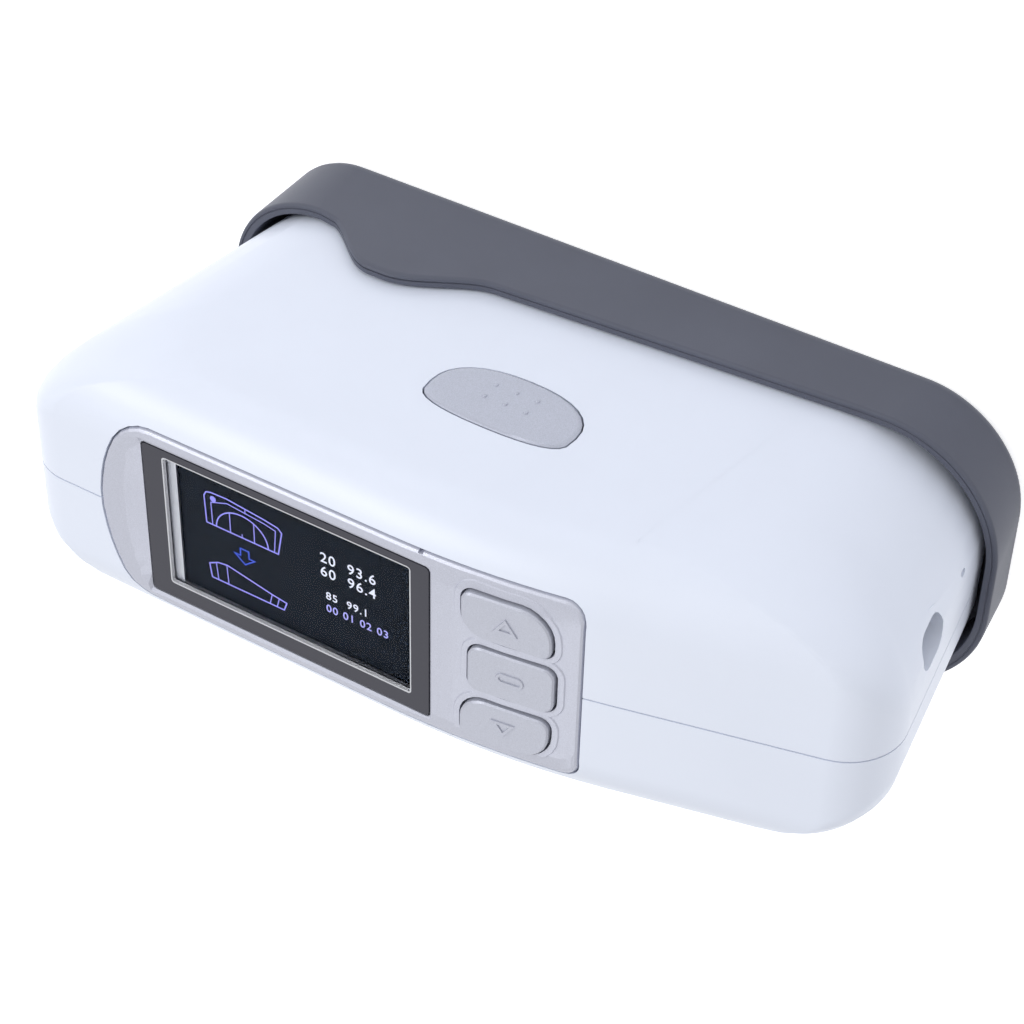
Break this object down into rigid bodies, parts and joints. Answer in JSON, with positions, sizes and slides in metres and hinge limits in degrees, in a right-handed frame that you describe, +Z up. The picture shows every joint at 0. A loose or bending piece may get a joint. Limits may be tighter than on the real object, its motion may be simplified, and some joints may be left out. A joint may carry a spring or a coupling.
{
  "type": "gloss meter",
  "caption": "Hand-held gloss meter in a white shell with a display, keys and a test button, seated in its dark calibration base.",
  "frame": {"origin": "middle of the calibration base's underside, on the surface it stands on", "axes": "+Z up towards the display, +X along the length towards the display end, -Y towards the test button"},
  "size_m": [0.1623, 0.0568, 0.0791],
  "materials": {
    "shell": "satin white moulded plastic",
    "tray": "dark grey moulded plastic with a fine matte texture",
    "tile": "polished black glass",
    "bezel": "silver painted plastic",
    "frame": "dark translucent window frame",
    "lens": "clear polished window",
    "lcd_bezel": "bright pressed metal frame",
    "lcd": "dark screen glass",
    "board": "green circuit board",
    "key": "silver painted keys",
    "button": "silver painted button",
    "switch": "black switch body",
    "block": "black anodised",
    "lamp": "black lamp holder",
    "detector": "machined detector holder",
    "plate": "black moulded plate",
    "socket": "pressed and plated socket",
    "battery": "blue shrink wrap",
    "screw": "plated steel"
  },
  "bodies": {
    "base": {"base_tray": "tray", "calibration_tile": "tile"},
    "meter": {"aperture_window": "lens", "battery_pack": "battery", "case_screw_1": "screw", "case_screw_2": "screw", "case_screw_3": "screw", "case_screw_4": "screw", "detector_20": "detector", "detector_60": "detector", "detector_85": "detector", "detector_lens_20": "lens", "detector_lens_60": "lens", "detector_lens_85": "lens", "display_bezel": "bezel", "display_board": "board", "display_lens": "lens", "front_shell": "shell", "key_board": "board", "key_switch_down": "switch", "key_switch_enter": "switch", "key_switch_up": "switch", "lamp_20": "lamp", "lamp_60": "lamp", "lamp_85": "lamp", "lamp_lens_20": "lens", "lamp_lens_60": "lens", "lamp_lens_85": "lens", "lcd_bezel": "lcd_bezel", "lcd_panel": "lcd", "main_board": "board", "measuring_plate": "plate", "optics_block": "block", "plate_screw_1": "screw", "plate_screw_2": "screw", "plate_screw_3": "screw", "plate_screw_4": "screw", "rear_shell": "shell", "test_switch": "switch", "usb_socket": "socket", "window_frame": "frame"},
    "test_button": {"test_button": "button"},
    "key_up": {"key_up": "key"},
    "key_enter": {"key_enter": "key"},
    "key_down": {"key_down": "key"}
  },
  "joints": [
    {"name": "base_lift", "type": "slide", "parent": "base", "child": "meter", "axis": [0, 0, 1], "range_m": [0, 0.04]},
    {"name": "test_button_press", "type": "slide", "parent": "meter", "child": "test_button", "axis": [0, 1, 0], "range_m": [0, 0.0012], "stiffness_N_per_m": 1200},
    {"name": "key_up_press", "type": "slide", "parent": "meter", "child": "key_up", "axis": [0.134, 0, -0.991], "range_m": [0, 0.0008], "stiffness_N_per_m": 1000},
    {"name": "key_enter_press", "type": "slide", "parent": "meter", "child": "key_enter", "axis": [0.134, 0, -0.991], "range_m": [0, 0.0008], "stiffness_N_per_m": 1000},
    {"name": "key_down_press", "type": "slide", "parent": "meter", "child": "key_down", "axis": [0.134, 0, -0.991], "range_m": [0, 0.0008], "stiffness_N_per_m": 1000}
  ]
}
